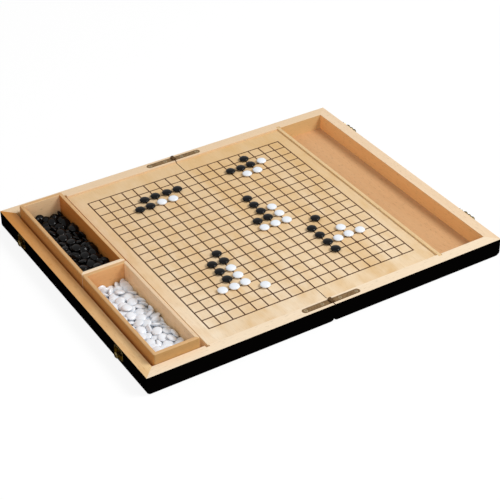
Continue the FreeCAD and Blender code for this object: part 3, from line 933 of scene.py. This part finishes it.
# ---------------------------------------------------------------- stones poured into the boxes
pour_scale = 100.0              # the simulation runs this much larger, where it is steadier
pour_frames = 120
pour_columns, pour_rows = 3, 10
pour_pitch = (13.4 * mm, 13.4 * mm, 13.2 * mm)
pour_start = 7.0 * mm           # lowest layer's height above the box's bottom
pour_shift = 6.0 * mm           # how far each layer is shifted against the next
pour_lead = -8.0 * mm           # the stones are poured a little towards the front
pour_tilt = 1.3                 # most that a stone is tilted when it starts to fall
pour_room = 90 * mm             # height over the box for the stones that wait


def heap_hull():
    """Coarse convex form of one stone, for while it falls."""
    sides = 10
    bm = bmesh.new()
    for radius, height in stone_profile()[::3]:
        for k in range(sides if radius else 1):
            angle = 2 * math.pi * k / sides
            bm.verts.new(Vector((radius * math.cos(angle), radius * math.sin(angle), height))
                         * pour_scale)
    bmesh.ops.convex_hull(bm, input=bm.verts)
    return mesh_of(bm, "heap_hull")


def inside_of(colour):
    """Lowest and highest corner of the room inside a stone box."""
    box = {side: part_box(f"{colour}_box_{side}")
           for side in ("left_wall", "right_wall", "front_wall", "back_wall", "bottom")}
    low = Vector((box["left_wall"][1].x, box["front_wall"][1].y, box["bottom"][1].z))
    high = Vector((box["right_wall"][0].x, box["back_wall"][0].y, box["left_wall"][1].z))
    return low, high


def pour_container(colour):
    """Slabs round the room inside a box, tall enough for the stones that wait."""
    low, high = inside_of(colour)
    thick = low.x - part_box(colour + "_box_left_wall")[0].x
    top = high.z + pour_room
    x0, y0, z0 = low.x - thick, low.y - thick, low.z - thick
    x1, y1 = high.x + thick, high.y + thick
    made = []
    for a, b in (((x0, y0, z0), (x1, y1, low.z)),
                 ((x0, y0, low.z), (low.x, y1, top)),
                 ((high.x, y0, low.z), (x1, y1, top)),
                 ((low.x, y0, low.z), (high.x, low.y, top)),
                 ((low.x, high.y, low.z), (high.x, y1, top))):
        a, b = Vector(a) * pour_scale, Vector(b) * pour_scale
        slab = block("slab", b - a)
        slab.location = (a + b) / 2
        made.append(slab)
    return made


def waiting_stones(colour, count, hull, chance):
    """Stones of one colour in shifted layers over their box, each turned at random."""
    low, high = inside_of(colour)
    centre = (low + high) / 2
    stones = []
    for k in range(count):
        layer, spot = divmod(k, pour_columns * pour_rows)
        column, row = divmod(spot, pour_rows)
        shift = pour_shift * (layer % 2 - 0.5)
        x = centre.x + (column - (pour_columns - 1) / 2) * pour_pitch[0]
        y = centre.y + (row - (pour_rows - 1) / 2) * pour_pitch[1] + shift + pour_lead
        z = low.z + pour_start + layer * pour_pitch[2]
        piece = bpy.data.objects.new("falling", hull)
        piece.location = Vector((x, y, z)) * pour_scale
        piece.rotation_euler = (chance.uniform(-pour_tilt, pour_tilt),
                                chance.uniform(-pour_tilt, pour_tilt),
                                chance.uniform(0, math.pi))
        stones.append(piece)
    return stones


def make_rigid(pieces, kind, shape):
    """Puts pieces into the simulation: ACTIVE ones fall and PASSIVE ones stand still."""
    for piece in pieces:
        bpy.context.scene.collection.objects.link(piece)
        piece.select_set(True)
    bpy.context.view_layer.objects.active = pieces[0]
    bpy.ops.rigidbody.objects_add(type=kind)
    for piece in pieces:
        body = piece.rigid_body
        body.collision_shape = shape
        body.friction = 0.3
        body.restitution = 0.1
        body.use_margin = True
        body.collision_margin = 0.0
        if kind == "ACTIVE":
            body.linear_damping = 0.05
            body.angular_damping = 0.15
        piece.select_set(False)


def pour(counts):
    """Drops stones into both boxes and returns where they come to rest, for each colour."""
    scene = bpy.context.scene
    bpy.ops.object.select_all(action="DESELECT")
    bpy.ops.rigidbody.world_add()
    world = scene.rigidbody_world
    world.substeps_per_frame = 12
    world.solver_iterations = 20
    world.point_cache.frame_end = pour_frames
    hull = heap_hull()
    chance = random.Random(seeds["pour"])
    slabs, stones = [], {}
    for colour in COLOURS:
        slabs += pour_container(colour)
        stones[colour] = waiting_stones(colour, counts[colour], hull, chance)
    falling = sum(stones.values(), [])
    make_rigid(slabs, "PASSIVE", "BOX")
    make_rigid(falling, "ACTIVE", "CONVEX_HULL")
    for at in range(1, pour_frames + 1):
        scene.frame_set(at)
    shrink = Matrix.Diagonal((1 / pour_scale,) * 3 + (1.0,))
    grow = Matrix.Diagonal((pour_scale,) * 3 + (1.0,))
    rest = {colour: [shrink @ piece.matrix_world.copy() @ grow for piece in group]
            for colour, group in stones.items()}
    bpy.ops.rigidbody.world_remove()
    for piece in slabs + falling:
        bpy.data.objects.remove(piece)
    scene.frame_set(1)
    return rest


def fill_boxes(templates):
    counts = {"black": black_in_box, "white": white_in_box}
    rest = pour(counts)
    for colour in COLOURS:
        low, high = inside_of(colour)
        kept = [place for place in rest[colour]
                if low.x < place.translation.x < high.x and low.y < place.translation.y < high.y]
        joined(colour + "_stones_in_box", templates[colour], kept, colour + "_box",
               [colour + "_box_stones", colour + "_box_stone_bed"])


# ---------------------------------------------------------------- stage, light and camera
def towards(azimuth, elevation):
    """Direction from the object; azimuth 0 is in front, and grows to the right."""
    a, e = math.radians(azimuth), math.radians(elevation)
    return Vector((math.sin(a) * math.cos(e), -math.cos(a) * math.cos(e), math.sin(e)))


def make_camera():
    back = towards(camera_azimuth, camera_elevation)
    azimuth, roll = math.radians(camera_azimuth), math.radians(camera_roll)
    level_right = Vector((math.cos(azimuth), math.sin(azimuth), 0))
    level_up = back.cross(level_right)
    right = level_right * math.cos(roll) + level_up * math.sin(roll)
    up = level_up * math.cos(roll) - level_right * math.sin(roll)
    data = bpy.data.cameras.new("camera")
    data.lens = camera_lens
    data.sensor_width = 36
    data.clip_start = 0.05
    camera = bpy.data.objects.new("camera", data)
    turn = Matrix((right, up, back)).transposed().to_4x4()
    aim = Vector((camera_aim[0], camera_aim[1], panel_top))
    camera.matrix_world = Matrix.Translation(aim + back * camera_distance) @ turn
    bpy.context.scene.collection.objects.link(camera)
    bpy.context.scene.camera = camera


def lamp(name, azimuth, elevation, distance, size, level):
    """Soft lamp; level 1 lights a white surface that faces it to white."""
    data = bpy.data.lights.new(name, "AREA")
    data.shape = "DISK"
    data.size = size
    data.energy = level * math.pi ** 2 * distance ** 2
    back = towards(azimuth, elevation)
    made = bpy.data.objects.new(name, data)
    made.location = back * distance
    made.rotation_euler = back.to_track_quat("Z", "Y").to_euler()
    bpy.context.scene.collection.objects.link(made)


def seen(tree):
    """1 for rays that should meet the white background: from the eye, a gloss or glass."""
    path = tree.nodes.new("ShaderNodeLightPath").outputs
    value = path["Is Camera Ray"]
    for name in ("Is Glossy Ray", "Is Transmission Ray"):
        larger = tree.nodes.new("ShaderNodeMath")
        larger.operation = "MAXIMUM"
        tree.links.new(value, larger.inputs[0])
        tree.links.new(path[name], larger.inputs[1])
        value = larger.outputs[0]
    return value


def make_stage():
    """White world and a pale floor that keeps the object's shadow."""
    world = bpy.data.worlds.new("world")
    bpy.context.scene.world = world
    world.use_nodes = True
    tree = world.node_tree
    strength = tree.nodes.new("ShaderNodeMapRange")
    tree.links.new(seen(tree), strength.inputs["Value"])
    strength.inputs["To Min"].default_value = ambient_level
    strength.inputs["To Max"].default_value = 1.0
    background = tree.nodes["Background"]
    background.inputs["Color"].default_value = rgba(1, 1, 1)
    tree.links.new(strength.outputs["Result"], background.inputs["Strength"])

    mesh = bpy.data.meshes.new("floor")
    corners = [(-1, -1), (1, -1), (1, 1), (-1, 1)]
    mesh.from_pydata([(x * floor_reach, y * floor_reach, -floor_drop) for x, y in corners],
                     [], [(0, 1, 2, 3)])
    floor = bpy.data.objects.new("floor", mesh)
    bpy.context.scene.collection.objects.link(floor)
    g = Graph("pale_floor")
    glow = g.math("MULTIPLY", seen(g.tree), floor_glow)
    g.set(Base_Color=rgba(floor_grey, floor_grey, floor_grey), Roughness=0.9,
          Specular_IOR_Level=0.0, Emission_Color=rgba(1, 1, 1), Emission_Strength=glow)
    mesh.materials.append(g.material)


dress_case()
dress_boxes()
dress_metal()
templates = {"black": revolve("black_template", stone_profile(), stone_sides, black_plastic),
             "white": revolve("white_template", stone_profile(), stone_sides, white_plastic)}
lay_stones(templates)
make_hinge_screws()
for end, slot_turn in (("front", 0.5), ("back", -0.3)):
    make_hook_screw(end, slot_turn)
    make_hook_bosses(end)
    make_knob(end)
    make_plate_nails(end)
fill_boxes(templates)

make_stage()
lamp("key", **key_light)
lamp("fill", **fill_light)
make_camera()
bpy.context.scene.view_settings.view_transform = "Standard"
